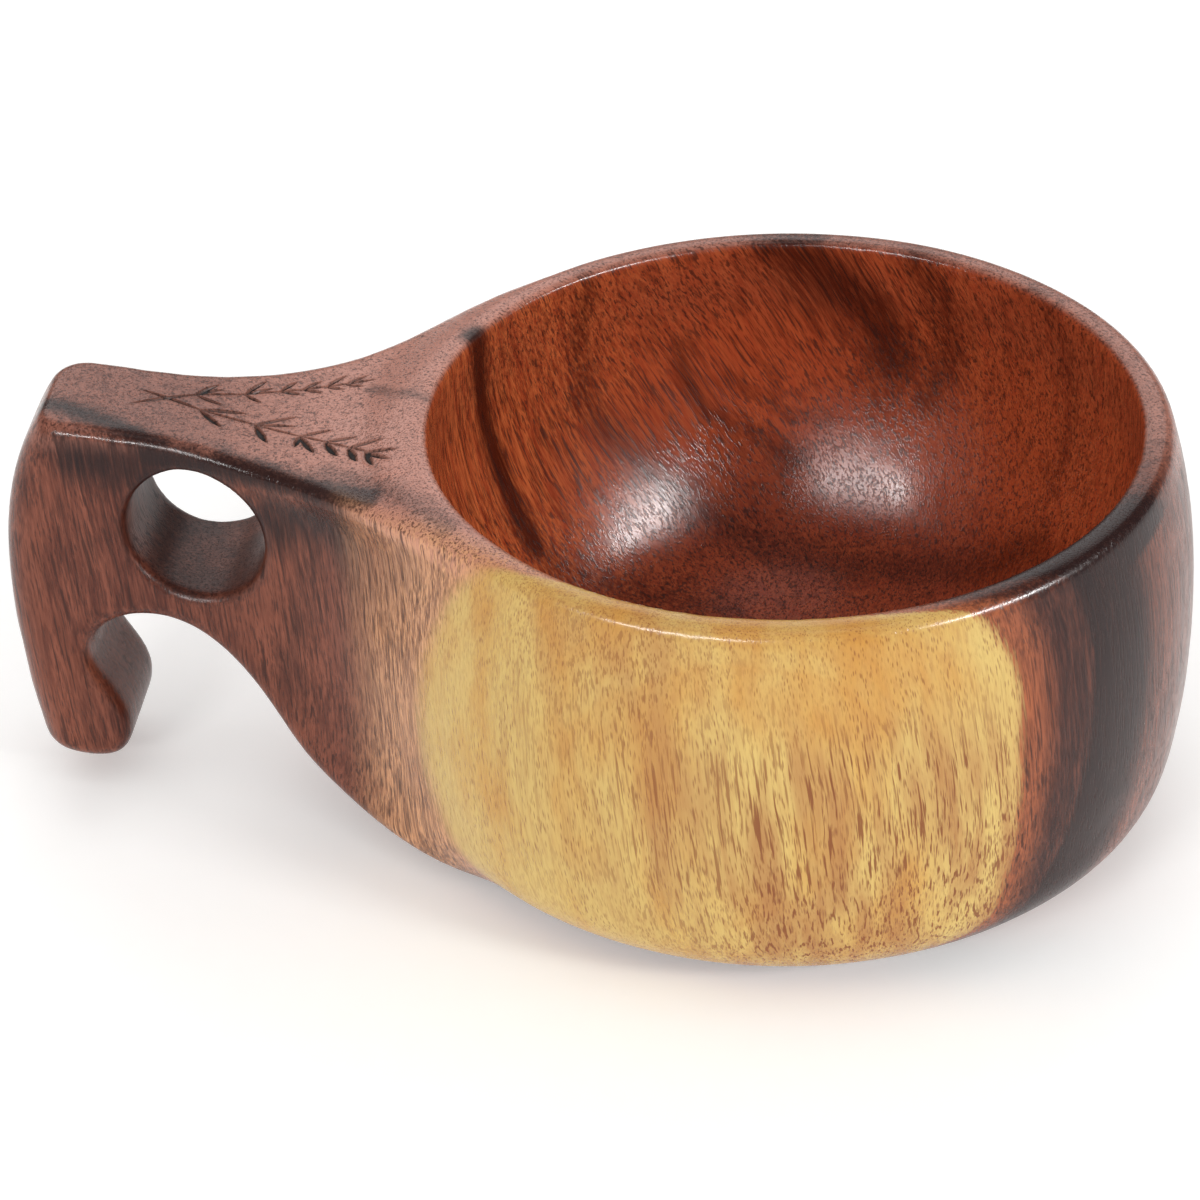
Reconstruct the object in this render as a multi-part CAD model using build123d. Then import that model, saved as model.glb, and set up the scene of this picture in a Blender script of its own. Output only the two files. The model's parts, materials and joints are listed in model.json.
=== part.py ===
from build123d import *
import math
import os

# A drinking cup carved from one billet: round bowl, hooked handle with a finger hole,
# and a leafy twig burnt into the handle top. Origin on the resting plane under the bowl
# axis. +X points away from the handle, +Z is up.

# Bowl
RIM_Z = 57.2
RIM_INNER_R = 46.0
RIM_FLAT_R = 48.0
LIP_R = 0.6
FOOT_R = 30.0
FOOT_RISE = 1.0

# Handle
WEB_X = -60.0
WEB_HALF = 13.2
TAIL_HALF = 9.1
TAIL_CORNER = 4.6
RIDGE_R = 1.6
UNDER_R = 2.4

# Finger hole, across the handle
HOLE_X = -76.6
HOLE_Z = 41.3
HOLE_R = 9.5
HOLE_EDGE_R = 1.2

# Burnt twig
GROOVE_DEPTH = 0.5
CHAR_THICK = 0.2
FIRST_WIDTH = 0.55
STEM_WIDTH = 0.36
LEAF_BOW = 0.035
LEAF_OVERLAP = 0.35

# Height, bowl radius, extra half width of the flare, position of the handle end
STATIONS = [
    (1.0, 38.8, 3.2, -99.4),
    (2.5, 43.4, 3.2, -99.7),
    (4.7, 47.3, 2.8, -100.1),
    (7.8, 50.1, 1.9, -100.6),
    (12.0, 51.6, 0.9, -101.4),
    (17.0, 52.4, 0.3, -102.1),
    (22.5, 53.0, 0.0, -102.7),
    (28.5, 53.3, 0.0, -103.1),
    (34.5, 53.3, 0.0, -103.1),
    (40.5, 53.0, 0.0, -102.6),
    (46.5, 52.3, 0.2, -101.4),
    (52.5, 51.1, 2.4, -99.2),
    (58.5, 49.5, 4.2, -95.6),
]

# Top surface, radius and height from the rim out to the tail
TOP_LINE = [
    (RIM_FLAT_R, RIM_Z), (50.4, 56.7), (55.0, 54.9), (61.0, 53.9),
    (70.0, 54.0), (80.0, 55.1), (90.0, 56.2), (106.0, 56.9),
]

# Inside of the bowl, radius and height from the lip down to the floor
HOLLOW_LINE = [
    (RIM_INNER_R, RIM_Z), (46.1, 47.0), (44.2, 36.0), (39.0, 24.0), (30.5, 13.8), (19.5, 8.4), (9.0, 6.6),
]

# Underside of the handle, from behind the hook, round its tip and under to the foot
ARCH_LINE = [
    (-107.0, 9.2), (-100.4, 5.6), (-94.5, 3.9), (-89.2, 4.9), (-87.9, 9.2), (-90.4, 15.2),
    (-92.6, 21.0), (-90.2, 25.2), (-83.8, 27.3), (-77.4, 25.5), (-71.6, 20.6), (-67.2, 14.8),
    (-62.8, 9.4), (-56.6, 5.8), (-46.5, 2.7), (-36.0, 0.6),
]

# Leaves: base x and y, then heading, length and width of each cut
LEAVES = [
    (-77.9, 3.4, (52, 4.1, 0.75), (34, 3.9, 0.55), (-22, 4.2, 0.55)),
    (-71.7, 5.1, (60, 4.4, 0.65), (34, 4.0, 0.55), (-32, 2.9, 0.6)),
    (-67.3, 6.7, (57, 3.4, 0.65), (-8, 2.8, 0.75)),
    (-64.5, 7.5, (47, 3.4, 0.6), (-13, 2.9, 0.55)),
    (-61.4, 8.5, (53, 3.7, 0.65), (-16, 2.4, 0.6)),
    (-58.9, 9.1, (36, 3.4, 0.6), (8, 4.1, 0.5), (-20, 2.7, 0.5)),
    (-76.7, -0.1, (5, 6.2, 0.7), (-44, 5.0, 0.85)),
    (-69.0, -2.1, (29, 5.8, 0.6), (4, 5.4, 0.5), (-61, 4.6, 1.05)),
    (-62.7, -4.2, (22, 4.2, 0.6), (-58, 4.7, 0.95), (-98, 2.6, 0.85)),
    (-59.2, -5.6, (6, 4.2, 0.65), (-58, 4.3, 1.05)),
    (-55.8, -7.5, (-1, 4.6, 0.65), (-65, 4.0, 1.05)),
    (-53.3, -9.3, (-18, 4.8, 0.6), (-42, 5.2, 0.65), (-66, 4.2, 0.85)),
]
STEM_LOW = [
    (-84.8, 2.7), (-76.7, -0.1), (-69.0, -2.1), (-62.7, -4.2), (-59.2, -5.6), (-55.8, -7.5), (-53.3, -9.3),
]
STEM_HIGH = [
    (-85.4, -0.6), (-77.9, 3.4), (-71.7, 5.1), (-67.3, 6.7), (-64.5, 7.5), (-61.4, 8.5), (-58.9, 9.1),
]


def flank(side, bowl_r, flare, end_x):
    """One side of the outline, from the bowl arc to the flat handle end."""
    reach = math.hypot(WEB_X, WEB_HALF)
    turn = math.acos(bowl_r / reach) + math.atan2(WEB_HALF, -WEB_X)
    tx = -bowl_r * math.cos(turn)
    ty = bowl_r * math.sin(turn)
    points = [
        (tx, ty),
        (WEB_X, WEB_HALF + 1.3 + flare),
        (WEB_X - 8.0, WEB_HALF - 1.6 + 0.5 * flare),
        (WEB_X - 17.0, WEB_HALF - 3.4),
        (end_x + TAIL_CORNER, TAIL_HALF),
    ]
    placed = [(x, side * y) for x, y in points]
    leaving = (-math.sin(turn), -side * math.cos(turn))
    web = Spline(*placed, tangents=[leaving, (-1.0, -0.03 * side)])
    end = (end_x, side * (TAIL_HALF - TAIL_CORNER))
    corner = TangentArc(web @ 1, end, tangent=web % 1)
    return web, corner, end


def section(z, bowl_r, flare, end_x):
    """Teardrop outline at one height: bowl arc, concave flares, rounded handle end."""
    left = flank(1, bowl_r, flare, end_x)
    right = flank(-1, bowl_r, flare, end_x)
    bowl = ThreePointArc(right[0] @ 0, (bowl_r, 0), left[0] @ 0)
    back = Line(left[2], right[2])
    outline = Wire([bowl, left[0], left[1], back, right[1], right[0]])
    return Pos(0, 0, z) * make_face(outline)


def blank():
    """Outer form before the top, the underside and the bowl are carved."""
    body = loft([section(*station) for station in STATIONS])
    foot_line = Polyline((0, 0), (FOOT_R, 0), (STATIONS[0][1], FOOT_RISE), (0, FOOT_RISE), close=True)
    foot = revolve(Plane.XZ * make_face(foot_line), Axis.Z)
    return body + foot


def above_top(drop=0.0):
    """Everything above the rim, the slope behind it and the handle top."""
    far_r = TOP_LINE[-1][0]
    line = Spline(*TOP_LINE, tangents=[(1, -0.1), (1, 0.03)])
    rim = Line((0, RIM_Z), TOP_LINE[0])
    lid = Polyline(TOP_LINE[-1], (far_r, 70), (0, 70), (0, RIM_Z))
    face = Plane.XZ * make_face([rim, line, lid])
    return Pos(0, 0, -drop) * revolve(face, Axis.Z)


def hollow():
    """The space inside the bowl, open at the rim."""
    wall = Spline(*HOLLOW_LINE, tangents=[(0.03, -1), (-1, 0)])
    floor_z = HOLLOW_LINE[-1][1]
    lid = Polyline(HOLLOW_LINE[-1], (0, floor_z), (0, 70), (RIM_INNER_R, 70), HOLLOW_LINE[0])
    face = Plane.XZ * make_face([wall, lid])
    return revolve(face, Axis.Z)


def arch():
    """The gap between the hook and the bowl, cut straight across the handle."""
    top = Spline(*ARCH_LINE)
    below = Polyline(ARCH_LINE[-1], (-36, -5), (-106, -5), ARCH_LINE[0])
    face = Plane.XZ * make_face([top, below])
    return extrude(face, amount=60, both=True)


def is_top_edge(edge):
    """The outer edge of the rim and the ridge along both sides of the handle."""
    middle = edge @ 0.5
    return 53.0 < middle.Z < RIM_Z - 0.1 and edge.length > 4.5


def is_under_edge(edge):
    """The edges of the arch, of the hook tip and of the web under the bowl."""
    middle = edge @ 0.5
    lowest = min((edge @ 0).Z, middle.Z, (edge @ 1).Z)
    highest = max((edge @ 0).Z, middle.Z, (edge @ 1).Z)
    return middle.X < -55.0 and lowest > FOOT_RISE - 0.1 and highest < 28.0 and middle.Y != 0


def carved():
    """Bowl, handle and hook with their rounded edges."""
    body = blank() - above_top() - arch()
    body = fillet([edge for edge in body.edges() if is_top_edge(edge)], RIDGE_R)
    body = fillet([edge for edge in body.edges() if is_under_edge(edge)], UNDER_R)
    body = body - hollow()
    lip = [edge for edge in body.edges().filter_by(GeomType.CIRCLE) if abs(edge.radius - RIM_INNER_R) < 0.01]
    return fillet(lip, LIP_R)


def finger_hole(body):
    """The body with the round hole for a finger, its edges softened."""
    bore = Pos(HOLE_X, 0, HOLE_Z) * Rot(90, 0, 0) * Cylinder(HOLE_R, 80)
    body = body - bore
    mouth = [edge for edge in body.edges() if is_mouth(edge)]
    return fillet(mouth, HOLE_EDGE_R)


def is_mouth(edge):
    """The two edges where the finger hole meets the sides of the handle."""
    middle = edge @ 0.5
    away = math.hypot(middle.X - HOLE_X, middle.Z - HOLE_Z)
    return abs(away - HOLE_R) < 0.05 and abs(middle.Y) > 3.0 and edge.length > 20.0


def stroke(start, end, bow, width):
    """One cut of the burning tool seen from above: a thin crescent, pointed at both ends."""
    ax, ay = start
    bx, by = end
    length = math.hypot(bx - ax, by - ay)
    nx, ny = -(by - ay) / length, (bx - ax) / length
    mx, my = (ax + bx) / 2, (ay + by) / 2
    outer = (mx + nx * (bow + width / 2), my + ny * (bow + width / 2))
    inner = (mx + nx * (bow - width / 2), my + ny * (bow - width / 2))
    return make_face([ThreePointArc(start, outer, end), ThreePointArc(end, inner, start)])


def leaf(x, y, *rays):
    """Straight, slightly bowed cuts that fan out from one point of the stem."""
    cuts = []
    for heading, length, width in rays:
        angle = math.radians(heading)
        start = (x - LEAF_OVERLAP * math.cos(angle), y - LEAF_OVERLAP * math.sin(angle))
        tip = (x + length * math.cos(angle), y + length * math.sin(angle))
        cuts.append(stroke(start, tip, LEAF_BOW * length * (1 if heading > -15 else -1), width))
    return cuts


def stem(nodes):
    """A chain of fine cuts that overlap a little at every node, the first one bolder."""
    cuts = []
    for (ax, ay), (bx, by) in zip(nodes, nodes[1:]):
        width = STEM_WIDTH if cuts else FIRST_WIDTH
        reach = 0.06
        start = (ax - reach * (bx - ax), ay - reach * (by - ay))
        end = (bx + reach * (bx - ax), by + reach * (by - ay))
        cuts.append(stroke(start, end, 0.15, width))
    return cuts


def twig():
    """Upright prisms over every cut of the burnt twig."""
    cuts = stem(STEM_LOW) + stem(STEM_HIGH)
    for values in LEAVES:
        cuts += leaf(*values)
    outline = cuts[0]
    for cut in cuts[1:]:
        outline = outline + cut
    return Pos(0, 0, 40) * extrude(outline, amount=30)


def build():
    """Write the wood and the burnt lining of the twig."""
    prisms = twig()
    grooves = prisms & above_top(GROOVE_DEPTH)
    char = grooves - above_top(GROOVE_DEPTH - CHAR_THICK)
    wood = finger_hole(carved()) - grooves
    os.makedirs("parts", exist_ok=True)
    export_step(wood, "parts/cup_body.step")
    export_step(char, "parts/twig_char.step")


build()
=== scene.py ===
import json
import math

import bmesh
import bpy
import numpy as np
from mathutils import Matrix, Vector
from mathutils.bvhtree import BVHTree
from mathutils.kdtree import KDTree


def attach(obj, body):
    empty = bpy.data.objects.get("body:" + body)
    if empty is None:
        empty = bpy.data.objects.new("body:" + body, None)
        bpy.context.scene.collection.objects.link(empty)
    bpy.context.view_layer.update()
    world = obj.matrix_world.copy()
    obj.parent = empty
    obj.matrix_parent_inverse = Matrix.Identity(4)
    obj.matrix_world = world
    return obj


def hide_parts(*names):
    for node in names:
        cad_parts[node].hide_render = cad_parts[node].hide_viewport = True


MM = 0.001    # lengths are in millimetres, except where a comment says metres
DOWN = Vector((0, 0, -1))

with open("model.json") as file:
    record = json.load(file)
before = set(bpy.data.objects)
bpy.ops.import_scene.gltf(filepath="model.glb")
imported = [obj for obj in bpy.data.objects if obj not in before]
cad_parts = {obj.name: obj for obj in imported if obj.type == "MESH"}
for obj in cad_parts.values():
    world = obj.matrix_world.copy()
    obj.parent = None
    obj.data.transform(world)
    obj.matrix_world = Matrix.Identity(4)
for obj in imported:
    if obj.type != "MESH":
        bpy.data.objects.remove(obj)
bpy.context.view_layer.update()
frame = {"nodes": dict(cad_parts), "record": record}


# ---------------------------------------------------------------- numbers from the frame

def mount(name):
    """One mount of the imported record."""
    return next(m for m in frame["record"]["mounts"] if m["name"] == name)


def vertices(mesh):
    """Vertex positions in millimetres."""
    co = np.empty(len(mesh.vertices) * 3, np.float32)
    mesh.vertices.foreach_get("co", co)
    return co.reshape(-1, 3).astype(float) / MM


cad_points = vertices(frame["nodes"]["cup_body"].data)
RIM_Z = cad_points[:, 2].max()
on_rim = cad_points[cad_points[:, 2] > RIM_Z - 0.02]
RIM_FLAT_R = np.hypot(on_rim[:, 0], on_rim[:, 1]).max()
HOLE_X = mount("finger_hole")["pos_m"][0] / MM
HOLE_Z = mount("finger_hole")["pos_m"][2] / MM
HOLE_R = mount("finger_hole")["dims"]["r_mm"]


# ---------------------------------------------------------------- small array helpers

def smooth(low, high, x):
    """0 below low, 1 above high, with a smooth rise between them."""
    t = np.clip((x - low) / (high - low), 0.0, 1.0)
    return t * t * (3.0 - 2.0 * t)


def bump(centre, width, x):
    """A soft hump of height 1."""
    return np.exp(-(((x - centre) / width) ** 2))


def lattice(ix, iy, iz, seed):
    """A fixed value in -1..1 for every lattice corner."""
    h = (ix * 374761393 + iy * 668265263 + iz * 2147483647 + seed * 974634777) & 0xFFFFFFFF
    h = ((h ^ (h >> 13)) * 1274126177) & 0xFFFFFFFF
    h = h ^ (h >> 16)
    return (h & 0xFFFF) / 32767.5 - 1.0


def noise(points, size, seed):
    """Smooth value noise in -1..1; size is the cell in millimetres on each axis."""
    q = points / np.asarray(size, float)
    base = np.floor(q).astype(np.int64)
    f = q - base
    f = f * f * (3.0 - 2.0 * f)
    total = np.zeros(len(points))
    for corner in range(8):
        dx, dy, dz = corner & 1, (corner >> 1) & 1, corner >> 2
        wx = f[:, 0] if dx else 1 - f[:, 0]
        wy = f[:, 1] if dy else 1 - f[:, 1]
        wz = f[:, 2] if dz else 1 - f[:, 2]
        value = lattice(base[:, 0] + dx, base[:, 1] + dy, base[:, 2] + dz, seed)
        total += wx * wy * wz * value
    return total


def rough_noise(points, size, seed):
    """Noise with two finer layers, each half as wide and half as strong as the last."""
    shares = (1.0, 0.5, 0.25)
    total = np.zeros(len(points))
    for layer, share in enumerate(shares):
        total += share * noise(points, np.asarray(size, float) * share, seed + layer)
    return total / sum(shares)


# ---------------------------------------------------------------- the carved shape

VOXEL = 0.6            # size of the even quads
SETTLE_ROUNDS = 6      # smoothing passes over the even mesh
FOOT_LEVEL = 0.25      # points lower than this are laid on the resting plane
TOOL_WAVE = 0.07       # height of the slow unevenness left by hand finishing
WAVE_SIZE = (17, 17, 26)    # and its width on each axis
ABOVE = RIM_Z + 20.0   # height from which rays are cast down
TWIG_LOW = 51.0        # the twig lies above this height
TWIG_END_R = 93.0      # and nearer than this to the bowl's axis
TWIG_ANGLES = np.radians(np.linspace(175, 185, 21))    # its directions from that axis
TWIG_MARGIN = 3.0      # width beside the twig in which distances to it are worked out
NOT_NEAR = -99.0       # the distance kept for points farther away
OUTLINE_STEP = 0.05    # spacing of the points along its outline
LEVEL_BESIDE = 1.6     # width beside the twig that is laid level first
FINE_BESIDE = 0.8      # width beside the twig that gets the fine faces
FINE_CUTS = 4          # cuts along every edge there
CUT_BESIDE = 1.2       # width beside the twig that the cutting may move
GROOVE_DEEP = 0.48     # deepest point of the burnt cuts
GROOVE_SLOPE = 1.35    # steepness of their walls
LIP_RISE = 0.03        # how far the wood beside a cut stands up
LIP_AWAY = 0.16        # distance of that lip from the cut's edge
LIP_WIDTH = 0.12
HALO = 0.45            # how scorched the wood is right beside a cut
HALO_WIDTH = 0.14      # and the distance over which that fades


def edge_pairs(mesh):
    """The vertex pairs of a mesh's edges."""
    pairs = np.empty(len(mesh.edges) * 2, np.int32)
    mesh.edges.foreach_get("vertices", pairs)
    return pairs.reshape(-1, 2)


def put(mesh, points):
    """Write positions in millimetres back to the mesh."""
    mesh.vertices.foreach_set("co", (points * MM).astype(np.float32).ravel())
    mesh.update()


def normals(mesh):
    """Vertex normals of a mesh."""
    values = np.empty(len(mesh.vertices) * 3, np.float32)
    mesh.vertex_normals.foreach_get("vector", values)
    return values.reshape(-1, 3).astype(float)


def relax(points, pairs, rounds, amount=0.5):
    """Move every point part of the way to the mean of its neighbours."""
    count = np.bincount(pairs.ravel(), minlength=len(points))[:, None]
    for _ in range(rounds):
        total = np.zeros_like(points)
        for axis in range(3):
            total[:, axis] += np.bincount(pairs[:, 0], points[pairs[:, 1], axis], len(points))
            total[:, axis] += np.bincount(pairs[:, 1], points[pairs[:, 0], axis], len(points))
        points = points + amount * (total / count - points)
    return points


def tree_of(obj):
    """Search tree over an object's faces; it works in metres."""
    mesh = obj.data
    return BVHTree.FromPolygons([v.co for v in mesh.vertices], [p.vertices for p in mesh.polygons])


def even_mesh(source):
    """The CAD cup as an even mesh of small quads, laid back onto its surface."""
    rough = bpy.data.objects.new("even", source.data.copy())
    bpy.context.collection.objects.link(rough)
    remesh = rough.modifiers.new("even", "REMESH")
    remesh.mode = "VOXEL"
    remesh.voxel_size = VOXEL * MM
    depsgraph = bpy.context.evaluated_depsgraph_get()
    mesh = bpy.data.meshes.new_from_object(rough.evaluated_get(depsgraph))
    bpy.data.objects.remove(rough)
    surface = tree_of(source)
    laid = [surface.find_nearest(Vector(p * MM))[0] for p in vertices(mesh)]
    points = relax(np.array(laid) / MM, edge_pairs(mesh), SETTLE_ROUNDS)
    points[:, 2] = np.where(points[:, 2] < FOOT_LEVEL, 0.0, points[:, 2])
    put(mesh, points)
    return mesh


def top_height():
    """Distances from the bowl axis and the uncut height of the handle top at each of them."""
    surface = tree_of(frame["nodes"]["cup_body"])
    radii = np.arange(RIM_FLAT_R, TWIG_END_R, 0.5)
    heights = []
    for r in radii:
        hits = []
        for angle in TWIG_ANGLES:
            start = Vector((r * math.cos(angle), r * math.sin(angle), ABOVE)) * MM
            hits.append(surface.ray_cast(start, DOWN)[0].z / MM)
        heights.append(max(hits))
    return radii, heights


def twig_outline():
    """Points along the outline of the burnt twig seen from above."""
    mesh = frame["nodes"]["twig_char"].data
    uses = {}
    for face in mesh.polygons:
        if face.normal.z > 0.7:
            ring = [tuple(round(c, 6) for c in mesh.vertices[v].co[:2]) for v in face.vertices]
            for side in zip(ring, ring[1:] + ring[:1]):
                key = frozenset(side)
                uses[key] = uses.get(key, 0) + 1
    line = []
    for key, count in uses.items():
        if count == 1 and len(key) == 2:
            a, b = [np.array(end) / MM for end in sorted(key)]
            steps = max(2, int(np.linalg.norm(b - a) / OUTLINE_STEP))
            line += [a + (b - a) * t for t in np.linspace(0, 1, steps)]
    return np.array(line)


def twig_distance(points):
    """Distance to the twig's outline seen from above: positive inside, negative outside."""
    outline = twig_outline()
    char = tree_of(frame["nodes"]["twig_char"])
    search = KDTree(len(outline))
    for i, (x, y) in enumerate(outline):
        search.insert((x, y, 0), i)
    search.balance()
    low, high = outline.min(axis=0) - TWIG_MARGIN, outline.max(axis=0) + TWIG_MARGIN
    near = (points[:, 2] > TWIG_LOW) & np.all((points[:, :2] > low) & (points[:, :2] < high), axis=1)
    distance = np.full(len(points), NOT_NEAR)
    for i in np.flatnonzero(near):
        x, y = points[i, :2]
        away = search.find((x, y, 0))[2]
        over_char = char.ray_cast(Vector((x, y, ABOVE)) * MM, DOWN)[0] is not None
        distance[i] = away if over_char else -away
    return distance


def refine(mesh, distance):
    """Split the faces in and beside the twig into fine ones."""
    bm = bmesh.new()
    bm.from_mesh(mesh)
    bm.verts.ensure_lookup_table()
    near = [f for f in bm.faces if max(distance[v.index] for v in f.verts) > -FINE_BESIDE]
    edges = list({e for f in near for e in f.edges})
    bmesh.ops.subdivide_edges(bm, edges=edges, cuts=FINE_CUTS, use_grid_fill=True)
    loose = [f for f in bm.faces if len(f.verts) > 4]
    bmesh.ops.triangulate(bm, faces=loose)
    bm.to_mesh(mesh)
    bm.free()


def level(points, chosen, radii, heights):
    """Lay the chosen points on the uncut handle top."""
    radius = np.hypot(points[chosen, 0], points[chosen, 1])
    points[chosen, 2] = np.interp(radius, radii, heights)


def fine_mesh(radii, heights):
    """The even mesh with a level handle top and fine faces where the twig goes."""
    mesh = even_mesh(frame["nodes"]["cup_body"])
    points = vertices(mesh)
    distance = twig_distance(points)
    level(points, distance > -LEVEL_BESIDE, radii, heights)
    put(mesh, points)
    refine(mesh, distance)
    return mesh


def carve():
    """The finished wood: even mesh, slow unevenness, V-shaped burnt cuts."""
    radii, heights = top_height()
    mesh = fine_mesh(radii, heights)
    points = vertices(mesh)
    distance = twig_distance(points)
    share = smooth(1.0, 6.0, points[:, 2]) * smooth(2.0, 6.0, -distance)
    wave = TOOL_WAVE * noise(points, WAVE_SIZE, 11) * share
    points += normals(mesh) * wave[:, None]
    twig = distance > -CUT_BESIDE
    level(points, twig, radii, heights)
    depth = np.clip(GROOVE_SLOPE * distance, 0.0, GROOVE_DEEP)
    depth -= LIP_RISE * bump(-LIP_AWAY, LIP_WIDTH, distance)
    points[:, 2] -= np.where(twig, depth, 0.0)
    put(mesh, points)
    return mesh, points, distance


# ---------------------------------------------------------------- how the wood grew

MID_Z = 30.0                   # height at which the growth is described
PITH = (4.8, 45.8)             # heart of the growth rings at that height
PITH_LEAN = (-0.185, 0.029)    # how far the heart moves per millimetre of height
EDGE_Z = (8, 12, 25, 39, 53)   # heights at which the colour borders are given
SAP_RIGHT = (89.2, 89.8, 91.6, 92.5, 92.5)    # ring radius of the sapwood border on the right
SAP_LEFT = (91.4, 91.2, 90.4, 90.1, 90.0)     # and on the left
BLACK_RIGHT = (87.4, 87.8, 88.3, 88.7, 88.7)  # outer border of the black rings
SAP_END_X = -46.5              # the sapwood stops where the handle starts
HOLLOW_R = (45.9, 46.9)        # the hollow's wall lies inside these radii
HOLLOW_Z = (4.0, 6.5, 56.6, 57.1)    # its floor and its edge
TOP_Z = (52.0, 54.0)           # the rim and the handle top lie above these heights

# Dark figure in the heartwood, with painted shade in some places: path, half width, strength.
DARK_FIGURE_AND_SHADE = [
    # a streak down the hollow's wall beside the handle
    ([(-43, 18, 57), (-42.5, 18, 47), (-40.5, 18, 37), (-36, 17, 25)], 2.3, 1.05),
    # a wide arc down the far wall, along the edge of the floor and up on the right
    ([(-30, 35, 56), (-31.5, 33.5, 45), (-30.5, 33, 39.5), (-27.5, 33.5, 33.5), (-23, 34, 28)], 3.0, 0.55),
    ([(-23, 34, 28), (-18.5, 34, 23.5), (-12, 33.5, 19), (-5, 32.5, 16), (3.5, 31.5, 14.5), (16, 29, 16),
      (24, 26, 19), (32, 23, 25)], 3.8, 0.55),
    # two shorter arcs within it
    ([(-18.5, 41.5, 42.5), (-17.5, 41, 37.5), (-14.5, 40.5, 33), (-2, 40, 26)], 2.2, 0.62),
    ([(-12, 43, 37.5), (-5.5, 42.5, 33), (2.5, 42, 30.5)], 1.6, 0.45),
    # streaks from the rim down the far wall and the right wall
    ([(-4, 45.5, 57), (3.5, 45.5, 50), (9, 44.5, 45), (11, 44, 41)], 6.0, 0.85),
    ([(13.5, 44, 57), (18, 42.5, 49.5), (19, 41.5, 44), (15.5, 41.5, 36)], 3.8, 0.62),
    ([(30.5, 36.5, 57), (35, 30, 52), (36, 28, 42.5), (33.5, 26.5, 32)], 2.6, 0.45),
    # the left edge of the floor: a dark band, partly dark figure and partly painted shade
    ([(-34, 17, 22.5), (-28, 20, 17.5), (-19.5, 22.5, 13.5), (-10, 24.5, 11.5)], 3.4, 0.5),
    # along the handle's front top edge, from the tail to the bowl
    ([(-99, -2, 56.5), (-92, -4.5, 56.5), (-88, -6, 56), (-84.5, -7.5, 55.5), (-80, -9, 55)], 2.2, 0.9),
    ([(-92, -10, 52), (-86, -10.5, 51), (-80, -10.5, 50.5), (-75, -11, 50.5)], 4.2, 0.85),
    # painted shade under the handle's ridge
    ([(-82, -9, 53), (-76, -10, 52.5), (-69.5, -11.5, 53), (-58, -16.5, 53.5),
      (-51, -19.5, 54.5)], 2.7, 1.0),
    ([(-58, -13, 54), (-51.5, -17, 55), (-44.5, -23.5, 56.5), (-39.5, -29, 57)], 2.6, 0.55),
    # a short streak on the handle's top, by the rim
    ([(-55.5, 7, 54.5), (-47, 1, 57)], 1.3, 0.6),
    # painted shade between the finger hole and the bowl, and a dark streak down the web
    ([(-66, -12, 46), (-62, -14, 47.5), (-56, -17.5, 49)], 6.0, 0.8),
    ([(-61, -14.5, 53), (-60, -14.5, 42), (-62.5, -13.5, 31.5), (-64.5, -12.5, 24.5),
      (-64, -13, 20)], 3.2, 0.42),
]


def path_distance(points, path):
    """Distance from every point to a path of straight pieces."""
    best = np.full(len(points), 1e9)
    for a, b in zip(path, path[1:]):
        a, b = np.array(a, float), np.array(b, float)
        t = np.clip((points - a) @ (b - a) / ((b - a) @ (b - a)), 0.0, 1.0)
        best = np.minimum(best, np.linalg.norm(points - a - t[:, None] * (b - a), axis=1))
    return best


def grain_position(points):
    """Positions in millimetres with the grain's lean taken out, so z runs along the fibres."""
    lean = 0.10 + 0.55 * smooth(0.0, 46.0, points[:, 1])
    out = points.copy()
    out[:, 0] += lean * (points[:, 2] - MID_Z)
    out[:, 0] += 0.9 * noise(points, (22, 22, 30), 5) + 0.22 * noise(points, (3.5, 3.5, 7), 15)
    out[:, 1] += 0.9 * noise(points, (22, 22, 30), 6) + 0.22 * noise(points, (3.5, 3.5, 7), 16)
    return out


def ring_radius(points):
    """Distance from the leaning heart of the tree."""
    rise = points[:, 2] - MID_Z
    dx = points[:, 0] - PITH[0] - PITH_LEAN[0] * rise
    dy = points[:, 1] - PITH[1] - PITH_LEAN[1] * rise
    return np.hypot(dx, dy)


def sap_depth(points, ring):
    """Millimetres into the sapwood, negative in the heartwood."""
    x, z = points[:, 0], points[:, 2]
    share = smooth(-12.0, 20.0, x)
    edge = share * np.interp(z, EDGE_Z, SAP_RIGHT) + (1 - share) * np.interp(z, EDGE_Z, SAP_LEFT)
    depth = ring - edge + 0.25 * noise(points, (7, 7, 12), 8)
    return np.minimum(depth, 0.6 * (x - SAP_END_X))


def inside_bowl(points):
    """1 on the wall and floor of the hollow, 0 elsewhere."""
    radius = np.hypot(points[:, 0], points[:, 1])
    z = points[:, 2]
    floor_low, floor_high, edge_low, edge_high = HOLLOW_Z
    height = smooth(floor_low, floor_high, z) * (1 - smooth(edge_low, edge_high, z))
    return (1 - smooth(*HOLLOW_R, radius)) * height


def black_rings(points, ring, streaky, inside, top):
    """The black band on the right with its brown border, and the stripes behind it."""
    x, z = points[:, 0], points[:, 2]
    black = ring - np.interp(z, EDGE_Z, BLACK_RIGHT) + 0.25 * noise(points, (5, 5, 16), 9)
    band = smooth(-11.0, -4.5, black + 5.0 * top) * (1.0 - smooth(-1.4, 0.9, black))
    border = 0.66 * smooth(-2.0, 0.0, black) * (1.0 - smooth(1.2, 3.2, black))
    band = np.maximum(band, border) * smooth(8.0, 26.0, x) * (1 - inside)
    lines = np.sin(ring * 2.3 + 2.0 * streaky) * 0.5 + 0.5 * streaky
    stripes = smooth(-0.2, 0.6, lines) * (1 - smooth(-6.5, -4.5, black))
    stripes *= smooth(34, 44, x) * (1 - inside) * (1 - 0.6 * top)
    return np.maximum(band, 0.5 * stripes)


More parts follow.
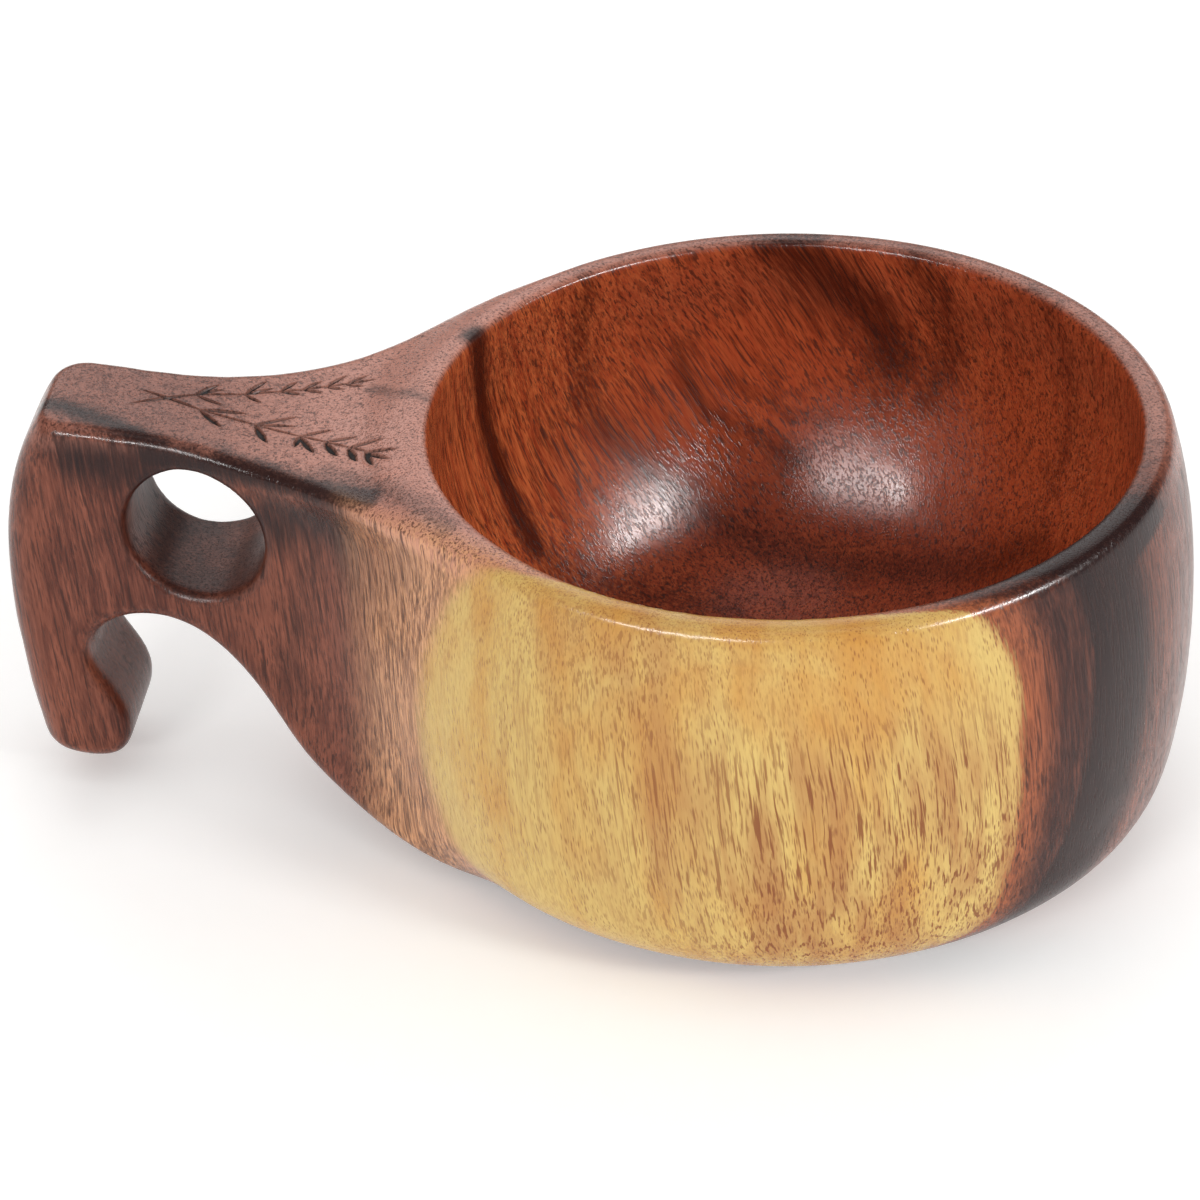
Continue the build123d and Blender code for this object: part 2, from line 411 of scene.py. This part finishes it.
def dark_paths(points, streaky):
    """The dark figure and the painted shade along their paths, with uneven borders."""
    dark = np.zeros(len(points))
    for path, width, strength in DARK_FIGURE_AND_SHADE:
        away = path_distance(points, path) * (1.0 + 0.5 * streaky)
        dark = np.maximum(dark, strength * np.exp(-(away / width) ** 2))
    return dark


def brown_share(points):
    """Where the sapwood is browner and its pores coarser: patches, and the lower right front."""
    x, z = points[:, 0], points[:, 2]
    front = 2.0 * bump(18.0, 22.0, x) * (1 - smooth(30.0, 52.0, z))
    return smooth(-0.4, 1.1, 0.5 * noise(points, (13, 13, 26), 31) + front)


def ochre_share(points):
    """Where the sapwood is more orange: under the middle of the rim, less on the right."""
    x, z = points[:, 0], points[:, 2]
    middle = smooth(34.0, 52.0, z) * bump(2.0, 30.0, x)
    return 0.25 + 0.25 * middle - 0.4 * smooth(20.0, 32.0, x)


def pink_and_sheen_share(points, top):
    """Where the top faces are pinker, partly pink wood and partly painted sheen: most by the bowl, least
    on the rim's front right.
    """
    x, y = points[:, 0], points[:, 1]
    along = 0.3 + 0.7 * smooth(-82.0, -50.0, x) - 0.4 * smooth(-42.0, -15.0, x)
    front_right = smooth(5, 25, x) * (1 - smooth(-12, 5, y))
    return top * along * (1 - front_right)


def slow_tone(points):
    """Wide light and dark zones: light web and hook end, dark handle."""
    x, z = points[:, 0], points[:, 2]
    web = 1.3 * bump(-61.0, 11.0, x) - 0.7 * bump(-85.0, 11.0, x)
    hook = 0.9 * bump(10.0, 12.0, z) * bump(-96.0, 9.0, x)
    return noise(points, (26, 26, 40), 41) + web + hook


def scorch(distance):
    """How burnt the wood is in the cuts and beside them."""
    halo = HALO * np.exp(distance / HALO_WIDTH)
    burn = np.where(distance > 0, 0.5 + 0.5 * smooth(0.1, 0.26, distance), halo)
    return burn * smooth(-1.5, -0.9, distance)


def figure(points):
    """Every mask that colours the wood, one value per vertex."""
    x, z = points[:, 0], points[:, 2]
    ring = ring_radius(points)
    streaky = rough_noise(grain_position(points), (2.4, 2.4, 30), 21)
    inside = inside_bowl(points)
    top = smooth(*TOP_Z, z) * (1 - inside)
    sap = sap_depth(points, ring) - 1.3 * inside
    in_sap = smooth(-1.5, 0.5, sap)
    brown = brown_share(points)
    rings = black_rings(points, ring, streaky, inside, top)
    bore = np.hypot(x - HOLE_X, z - HOLE_Z)
    return {
        "ring": ring + 0.7 * rough_noise(points, (19, 19, 44), 3),
        "sap": sap,
        "dark": np.maximum(rings, dark_paths(points, streaky)),
        "hole": 1.0 - smooth(HOLE_R + 0.3, HOLE_R + 1.6, bore),
        "inside": inside,
        "left": 1 - smooth(-44.0, -14.0, x),
        "pink_sheen": pink_and_sheen_share(points, top),
        "coarse": brown * in_sap + 0.8 * (1 - in_sap),
        "brown_sap": brown,
        "ochre": ochre_share(points),
        "slow": slow_tone(points),
    }


def store(mesh, name, values):
    """Keep one number per vertex on the mesh."""
    attribute = mesh.attributes.new(name, "FLOAT", "POINT")
    attribute.data.foreach_set("value", np.asarray(values, np.float32))


def store_vector(mesh, name, values):
    """Keep one vector per vertex on the mesh."""
    attribute = mesh.attributes.new(name, "FLOAT_VECTOR", "POINT")
    attribute.data.foreach_set("vector", np.asarray(values, np.float32).ravel())


# ---------------------------------------------------------------- node helpers

def srgb(red, green, blue):
    """An 8-bit screen colour as linear RGBA."""
    parts = [c / 255.0 for c in (red, green, blue)]
    return [c / 12.92 if c <= 0.04045 else ((c + 0.055) / 1.055) ** 2.4 for c in parts] + [1.0]


def add(tree, kind, inputs=(), **settings):
    """A node with its settings and inputs; an input is a value or another node's output."""
    node = tree.nodes.new(kind)
    for key, value in settings.items():
        setattr(node, key, value)
    for key, value in dict(inputs).items():
        if isinstance(value, bpy.types.NodeSocket):
            tree.links.new(value, node.inputs[key])
        else:
            node.inputs[key].default_value = value
    return node


def calc(tree, operation, a, b=0.0, c=0.0):
    """One arithmetic step."""
    return add(tree, "ShaderNodeMath", {0: a, 1: b, 2: c}, operation=operation).outputs[0]


def product(tree, a, b):
    """Two values multiplied."""
    return calc(tree, "MULTIPLY", a, b)


def ramp(tree, value, low, high, start=0.0, end=1.0):
    """value mapped from low..high to start..end with soft ends."""
    node = add(tree, "ShaderNodeMapRange", {0: value, 1: low, 2: high, 3: start, 4: end},
               interpolation_type="SMOOTHSTEP")
    return node.outputs[0]


def blend(tree, amount, a, b):
    """Two colours mixed."""
    return add(tree, "ShaderNodeMix", {0: amount, 6: a, 7: b}, data_type="RGBA").outputs[2]


def read(tree, name, vector=False):
    """A value kept on the mesh."""
    node = add(tree, "ShaderNodeAttribute", attribute_name=name)
    return node.outputs["Vector" if vector else "Fac"]


def stretched(tree, vector, scale):
    """A position scaled by a different number on each axis."""
    return add(tree, "ShaderNodeVectorMath", {0: vector, 1: scale}, operation="MULTIPLY").outputs[0]


def cloud(tree, vector, scale, detail=2.0, roughness=0.5):
    """Noise between 0 and 1 at a position scaled per axis."""
    inputs = {"Vector": stretched(tree, vector, scale), "Scale": 1.0}
    inputs.update({"Detail": detail, "Roughness": roughness})
    return add(tree, "ShaderNodeTexNoise", inputs).outputs[0]


def new_material(name):
    """An empty node material with its shader."""
    material = bpy.data.materials.new(name)
    material.use_nodes = True
    tree = material.node_tree
    shader = tree.nodes["Principled BSDF"]
    return material, tree, shader


# ---------------------------------------------------------------- materials

SAP_PALE = srgb(212, 182, 110)
SAP_OCHRE = srgb(198, 143, 70)
SAP_BROWN = srgb(164, 106, 64)
FRINGE_LEFT = srgb(222, 164, 120)
FRINGE_RIGHT = srgb(170, 96, 60)
SAP_PORE = srgb(126, 66, 34)
HEART_LIGHT = srgb(152, 88, 66)
# pink wood tone and painted sheen on the top faces
HEART_PINK_SHEEN = srgb(202, 140, 122)
HEART_MID = srgb(124, 70, 54)
HEART_DEEP = srgb(72, 32, 24)
HEART_BLACK = srgb(30, 16, 17)
INSIDE_ORANGE = srgb(214, 114, 64)
INSIDE_RED = srgb(162, 68, 38)
INSIDE_DARK = srgb(74, 24, 11)
PORE = srgb(46, 19, 13)
BURNT = srgb(36, 22, 17)
CHAR_BLACK = srgb(20, 16, 15)
CHAR_BROWN = srgb(46, 30, 24)
CHAR_CRUMB = srgb(60, 44, 38)
PORE_DEEP = 0.00006    # metres


def pores(tree, grain, across, along, low, high):
    """Short vessel lines along the grain: 1 on a pore, 0 between them."""
    inputs = {"Vector": stretched(tree, grain, (across, across, along)), "Scale": 1.0, "Randomness": 1.0}
    cell = add(tree, "ShaderNodeTexVoronoi", inputs)
    return calc(tree, "SUBTRACT", 1.0, ramp(tree, cell.outputs["Distance"], low, high))


def growth_lines(tree, ring, scale):
    """Uneven growth lines, 0 to 1."""
    place = add(tree, "ShaderNodeCombineXYZ", {0: ring}).outputs[0]
    return cloud(tree, place, (scale, 1, 1), 3.0, 0.6)


def sapwood(tree, grain, ring, fibre):
    """Yellow outer wood, browner where the pores are coarse."""
    patch = cloud(tree, grain, (0.10, 0.10, 0.035), 3.0, 0.55)
    tone = calc(tree, "MULTIPLY_ADD", patch, 0.5, product(tree, growth_lines(tree, ring, 0.8), 0.2))
    tone = calc(tree, "MULTIPLY_ADD", read(tree, "ochre"), 0.3, tone)
    colour = blend(tree, ramp(tree, tone, 0.36, 0.60), SAP_PALE, SAP_OCHRE)
    patches = ramp(tree, cloud(tree, grain, (0.3, 0.3, 0.04), 3.0), 0.3, 0.7)
    browner = product(tree, product(tree, read(tree, "brown_sap"), patches), 0.7)
    colour = blend(tree, browner, colour, SAP_BROWN)
    return blend(tree, ramp(tree, fibre, 0.40, 0.72, 0.0, 0.30), colour, SAP_BROWN)


def outer_heartwood(tree, shade, slow, mottle):
    """Red-brown wood outside the bowl, pinker on the top faces, partly with painted sheen."""
    colour = blend(tree, shade, HEART_MID, HEART_DEEP)
    colour = blend(tree, product(tree, ramp(tree, slow, 0.0, 1.3), 0.6), colour, HEART_LIGHT)
    # pinker top faces: pink wood tone and painted sheen
    colour = blend(tree, product(tree, read(tree, "pink_sheen"), 0.85), colour, HEART_PINK_SHEEN)
    calm = calc(tree, "MULTIPLY_ADD", read(tree, "pink_sheen"), -0.65, 1.0)
    return blend(tree, product(tree, mottle, calm), colour, HEART_DEEP)


def inner_heartwood(tree, shade, slow, mottle):
    """Orange-brown wood inside the bowl, redder towards the right."""
    colour = blend(tree, shade, INSIDE_ORANGE, INSIDE_RED)
    away_from_left = calc(tree, "SUBTRACT", 1.0, read(tree, "left"))
    redder = product(tree, away_from_left, ramp(tree, slow, 0.0, 1.0, 0.45, 0.9))
    colour = blend(tree, redder, colour, INSIDE_RED)
    return blend(tree, product(tree, mottle, 0.7), colour, INSIDE_DARK)


def heartwood(tree, grain, ring, fibre):
    """The inner wood of the tree with its dark figure, some painted shade, and painted shade inside the
    finger hole.
    """
    inside = read(tree, "inside")
    slow = calc(tree, "MULTIPLY_ADD", read(tree, "slow"), 0.5, 0.5)
    lines = product(tree, growth_lines(tree, ring, 0.5), 0.4)
    shade = ramp(tree, calc(tree, "ADD", product(tree, fibre, 0.6), lines), 0.36, 0.62)
    mottle = ramp(tree, cloud(tree, grain, (0.9, 0.9, 0.1), 3.0, 0.6), 0.50, 0.62, 0.0, 0.5)
    outer = outer_heartwood(tree, shade, slow, mottle)
    inner = inner_heartwood(tree, shade, slow, mottle)
    colour = blend(tree, inside, outer, inner)
    dark = blend(tree, inside, HEART_BLACK, INSIDE_DARK)
    wobble = product(tree, calc(tree, "SUBTRACT", fibre, 0.5), 0.9)
    amount = ramp(tree, calc(tree, "ADD", read(tree, "dark"), wobble), 0.05, 1.0)
    colour = blend(tree, product(tree, amount, 0.95), colour, dark)
    # painted shade inside the finger hole, blended towards black
    hole_shade = ramp(tree, cloud(tree, grain, (0.12, 0.12, 0.1), 2.0), 0.35, 0.6, 0.0, 0.45)
    return blend(tree, product(tree, read(tree, "hole"), hole_shade), colour, HEART_BLACK)


def open_pores(tree, grain):
    """All the pores together: long and coarse ones, and fine ones in patches."""
    dashes = product(tree, pores(tree, grain, 2.0, 0.13, 0.12, 0.36), 0.7)
    streaks = ramp(tree, cloud(tree, grain, (2.6, 2.6, 0.12), 2.0), 0.55, 0.64)
    share = calc(tree, "MULTIPLY_ADD", read(tree, "coarse"), 0.85, 0.1)
    coarse = product(tree, calc(tree, "MAXIMUM", dashes, streaks), share)
    patchy = ramp(tree, cloud(tree, grain, (0.25, 0.25, 0.06), 2.0), 0.34, 0.60, 0.35, 1.0)
    fine = product(tree, pores(tree, grain, 3.4, 0.5, 0.10, 0.46), product(tree, patchy, 0.75))
    return calc(tree, "MAXIMUM", coarse, fine)


def wood_colour(tree, grain, fibre, open_grain):
    """Sapwood and heartwood with the fringe between them, the pores and the scorched borders."""
    ring = read(tree, "ring")
    left = read(tree, "left")
    edge = calc(tree, "MULTIPLY_ADD", calc(tree, "SUBTRACT", fibre, 0.5), 1.6, read(tree, "sap"))
    edge = calc(tree, "DIVIDE", edge, calc(tree, "MULTIPLY_ADD", left, 1.8, 1.0))
    is_sap = ramp(tree, edge, -0.25, 0.4)
    streaky = ramp(tree, fibre, 0.36, 0.62, 0.95, 0.35)
    fringe = product(tree, ramp(tree, edge, -2.4, -0.3), streaky)
    fringe_colour = blend(tree, left, FRINGE_RIGHT, FRINGE_LEFT)
    heart = blend(tree, fringe, heartwood(tree, grain, ring, fibre), fringe_colour)
    colour = blend(tree, is_sap, heart, sapwood(tree, grain, ring, fibre))
    pore_colour = blend(tree, is_sap, PORE, SAP_PORE)
    colour = blend(tree, product(tree, open_grain, 0.9), colour, pore_colour)
    return blend(tree, read(tree, "burn"), colour, BURNT)


def wood_roughness(tree, grain, open_grain):
    """Oiled gloss, duller on the pores, the scorched wood and the wall of the finger hole."""
    gloss = ramp(tree, cloud(tree, grain, (0.08, 0.08, 0.05), 3.0), 0.3, 0.7, 0.18, 0.26)
    rough = calc(tree, "ADD", gloss, product(tree, open_grain, 0.12))
    rough = calc(tree, "ADD", rough, product(tree, read(tree, "burn"), 0.3))
    return calc(tree, "MULTIPLY_ADD", read(tree, "hole"), 0.14, rough)


def wood_material():
    """Oiled two-tone wood."""
    material, tree, shader = new_material("oiled_wood")
    grain = read(tree, "grain", vector=True)
    fibre = cloud(tree, grain, (2.2, 2.2, 0.13), 4.0, 0.65)
    open_grain = open_pores(tree, grain)
    height = calc(tree, "SUBTRACT", product(tree, fibre, 0.35), open_grain)
    relief = add(tree, "ShaderNodeBump", {"Height": height, "Strength": 0.3, "Distance": PORE_DEEP})
    colour = wood_colour(tree, grain, fibre, open_grain)
    tree.links.new(colour, shader.inputs["Base Color"])
    tree.links.new(wood_roughness(tree, grain, open_grain), shader.inputs["Roughness"])
    tree.links.new(relief.outputs[0], shader.inputs["Normal"])
    shader.inputs["Specular IOR Level"].default_value = 0.24
    return material


def char_material():
    """Burnt wood: matt, near black, crumbly, with brown showing through."""
    material, tree, shader = new_material("charred_wood")
    place = add(tree, "ShaderNodeTexCoord").outputs["Object"]
    crumbs = cloud(tree, place, (9000, 9000, 9000), 4.0, 0.7)
    patches = cloud(tree, place, (900, 900, 900), 2.0)
    colour = blend(tree, ramp(tree, patches, 0.45, 0.75), CHAR_BLACK, CHAR_BROWN)
    colour = blend(tree, ramp(tree, crumbs, 0.4, 0.8, 0.0, 0.5), colour, CHAR_CRUMB)
    relief = add(tree, "ShaderNodeBump", {"Height": crumbs, "Strength": 0.6, "Distance": PORE_DEEP})
    tree.links.new(colour, shader.inputs["Base Color"])
    tree.links.new(ramp(tree, crumbs, 0.3, 0.7, 0.75, 0.95), shader.inputs["Roughness"])
    tree.links.new(relief.outputs[0], shader.inputs["Normal"])
    return material


# ---------------------------------------------------------------- pieces

def build_cup():
    """The carved cup with its masks, in place of the CAD body."""
    mesh, points, distance = carve()
    for name, values in figure(points).items():
        store(mesh, name, values)
    store_vector(mesh, "grain", grain_position(points))
    store(mesh, "burn", scorch(distance))
    mesh.shade_smooth()
    mesh.materials.clear()
    mesh.materials.append(wood_material())
    cup = bpy.data.objects.new("carved_cup", mesh)
    bpy.context.collection.objects.link(cup)
    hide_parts("cup_body")
    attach(cup, "root")


def finish_char():
    """The burnt lining keeps its CAD shape and gets its finish."""
    char = frame["nodes"]["twig_char"]
    char.data.materials.clear()
    char.data.materials.append(char_material())


# ---------------------------------------------------------------- floor, light, camera

EYE = (0.0543, -0.5600, 0.4004)    # metres
EYE_TURN = (56.61, 1.44, 7.08)     # degrees about x, y and z
LENS = 153.24
SENSOR = 36.0
FLOOR_HALF = 1.6       # metres
FLOOR_GAP = 0.0002     # metres between the floor and the foot
PAPER = srgb(246, 245, 243)
PAPER_PALE = srgb(250, 250, 249)
ROOM_LIGHT = 0.62
ROOM_DIMMER = -0.44    # added for what the gloss reflects
LAMP_AIM = (-0.015, 0.0, 0.03)    # metres

# Name, direction from the cup, distance and size in metres, watts, lights matt, lights gloss.
LAMPS = [
    ("key", (0.78, -0.46, 0.42), 0.9, (0.17, 0.11), 2.4, True, False),
    ("fill", (-0.38, -0.84, 0.39), 1.0, (0.28, 0.10), 2.4, True, False),
    ("key_glint", (0.83, -0.35, 0.46), 0.9, (0.46, 0.09), 15.0, False, True),
    ("fill_glint", (-0.38, -0.83, 0.44), 1.0, (0.60, 0.08), 11.0, False, True),
    ("back", (-0.14, 0.83, 0.56), 1.1, (1.1, 0.55), 3.2, True, True),
    ("overhead", (0.05, 0.0, 1.0), 1.1, (0.5, 0.5), 0.8, True, True),
]


def build_floor():
    """A pale sheet under the cup."""
    bm = bmesh.new()
    bmesh.ops.create_grid(bm, x_segments=40, y_segments=40, size=FLOOR_HALF)
    mesh = bpy.data.meshes.new("floor")
    bm.to_mesh(mesh)
    bm.free()
    material, tree, shader = new_material("pale_paper")
    place = add(tree, "ShaderNodeTexCoord").outputs["Object"]
    fleck = cloud(tree, place, (300, 300, 300), 3.0)
    tree.links.new(blend(tree, fleck, PAPER, PAPER_PALE), shader.inputs["Base Color"])
    shader.inputs["Roughness"].default_value = 0.9
    shader.inputs["Specular IOR Level"].default_value = 0.1
    shader.inputs["Emission Color"].default_value = (1.0, 1.0, 1.0, 1.0)
    shader.inputs["Emission Strength"].default_value = 0.22
    mesh.materials.append(material)
    floor = bpy.data.objects.new("floor", mesh)
    floor.location.z = -FLOOR_GAP
    bpy.context.collection.objects.link(floor)


def softbox(name, toward, distance, size, power, matt, glossy):
    """A lamp in a direction from the cup, facing it."""
    lamp = bpy.data.lights.new(name, "AREA")
    lamp.energy = power
    lamp.shape = "RECTANGLE"
    lamp.size, lamp.size_y = size
    obj = bpy.data.objects.new(name, lamp)
    direction = Vector(toward).normalized()
    obj.location = Vector(LAMP_AIM) + direction * distance
    obj.rotation_euler = direction.to_track_quat("Z", "Y").to_euler()
    obj.visible_diffuse = matt
    obj.visible_glossy = glossy
    bpy.context.collection.objects.link(obj)


def build_light():
    """A bright even room and the lamps."""
    world = bpy.data.worlds.new("room")
    world.use_nodes = True
    tree = world.node_tree
    room = tree.nodes["Background"]
    room.inputs["Color"].default_value = (1.0, 1.0, 1.0, 1.0)
    glossy = add(tree, "ShaderNodeLightPath").outputs["Is Glossy Ray"]
    strength = calc(tree, "MULTIPLY_ADD", glossy, ROOM_DIMMER, ROOM_LIGHT)
    tree.links.new(strength, room.inputs["Strength"])
    bpy.context.scene.world = world
    for lamp in LAMPS:
        softbox(*lamp)


def build_camera():
    """The camera that sees the cup from the front right and above."""
    lens = bpy.data.cameras.new("camera")
    lens.lens = LENS
    lens.sensor_width = SENSOR
    camera = bpy.data.objects.new("camera", lens)
    camera.location = EYE
    camera.rotation_euler = [math.radians(angle) for angle in EYE_TURN]
    bpy.context.collection.objects.link(camera)
    bpy.context.scene.camera = camera


build_cup()
finish_char()
build_floor()
build_light()
build_camera()
bpy.context.scene.view_settings.view_transform = "Standard"
